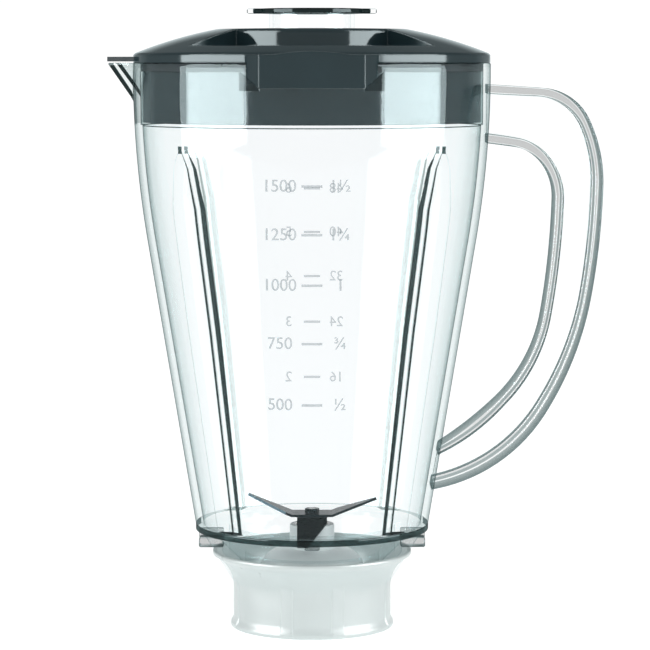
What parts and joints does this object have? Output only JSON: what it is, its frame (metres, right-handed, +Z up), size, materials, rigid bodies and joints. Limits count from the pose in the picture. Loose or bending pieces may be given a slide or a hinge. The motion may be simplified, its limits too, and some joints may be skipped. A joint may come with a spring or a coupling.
{
  "type": "countertop blender jug",
  "caption": "Clear tapered blender jug with loop handle and pouring spout, dark lid with a clear filler cap, and a screw-in blade unit in a white collar.",
  "frame": {"origin": "on the jug's axis, at the foot of the screw collar that the jug stands on", "axes": "+Z up along the jug's axis, +X towards the handle, -X towards the spout, -Y towards the lid's tab"},
  "size_m": [0.2, 0.1487, 0.2515],
  "materials": {
    "clear": "clear, gloss",
    "clear_cap": "clear, gloss",
    "charcoal": "high gloss",
    "seal_rubber": "soft matte",
    "white_plastic": "satin, slightly translucent",
    "neck_rubber": "soft matte",
    "carrier_plastic": "satin",
    "bronze": "sintered, oiled",
    "felt": "oiled felt",
    "steel": "turned",
    "nylon": "satin",
    "blade_steel": "fine ground, bright edges",
    "coupling_plastic": "satin"
  },
  "bodies": {
    "jug": {"jug_rim": "clear", "jug_wall": "clear", "jug_base": "clear", "jug_handle": "clear"},
    "lid": {"lid": "charcoal", "lid_seal": "seal_rubber"},
    "filler_cap": {"filler_cap": "clear_cap"},
    "blade_unit": {"blade_carrier": "carrier_plastic", "neck_seal": "neck_rubber", "upper_bush": "bronze", "lower_bush": "bronze", "oil_wick": "felt", "shaft_seal": "neck_rubber", "seal_retainer": "steel"},
    "collar": {"base_collar": "white_plastic"},
    "rotor": {"drive_shaft": "steel", "lower_thrust_washer": "nylon", "upper_thrust_washer": "nylon", "blade_spacer": "steel", "lower_blade": "blade_steel", "upper_blade": "blade_steel", "blade_nut": "steel", "shaft_clip": "steel", "drive_coupling": "coupling_plastic", "coupling_insert": "bronze"}
  },
  "joints": [
    {"name": "lid_lift", "type": "slide", "parent": "jug", "child": "lid", "axis": [0, 0, 1], "range_m": [0, 0.05]},
    {"name": "cap_lift", "type": "slide", "parent": "lid", "child": "filler_cap", "axis": [0, 0, 1], "range_m": [0, 0.04]},
    {"name": "carrier_drop", "type": "slide", "parent": "jug", "child": "blade_unit", "axis": [0, 0, -1], "range_m": [0, 0.0084]},
    {"name": "collar_turn", "type": "hinge", "parent": "blade_unit", "child": "collar", "pos_m": [0, 0, 0], "axis": [0, 0, -1], "range_deg": [0, 252]},
    {"name": "rotor_spin", "type": "hinge", "parent": "blade_unit", "child": "rotor", "pos_m": [0, 0, 0], "axis": [0, 0, 1], "continuous": true}
  ],
  "couplings": [
    {"joint": "carrier_drop", "follows": "collar_turn", "m_per_rad": 0.0019099}
  ]
}
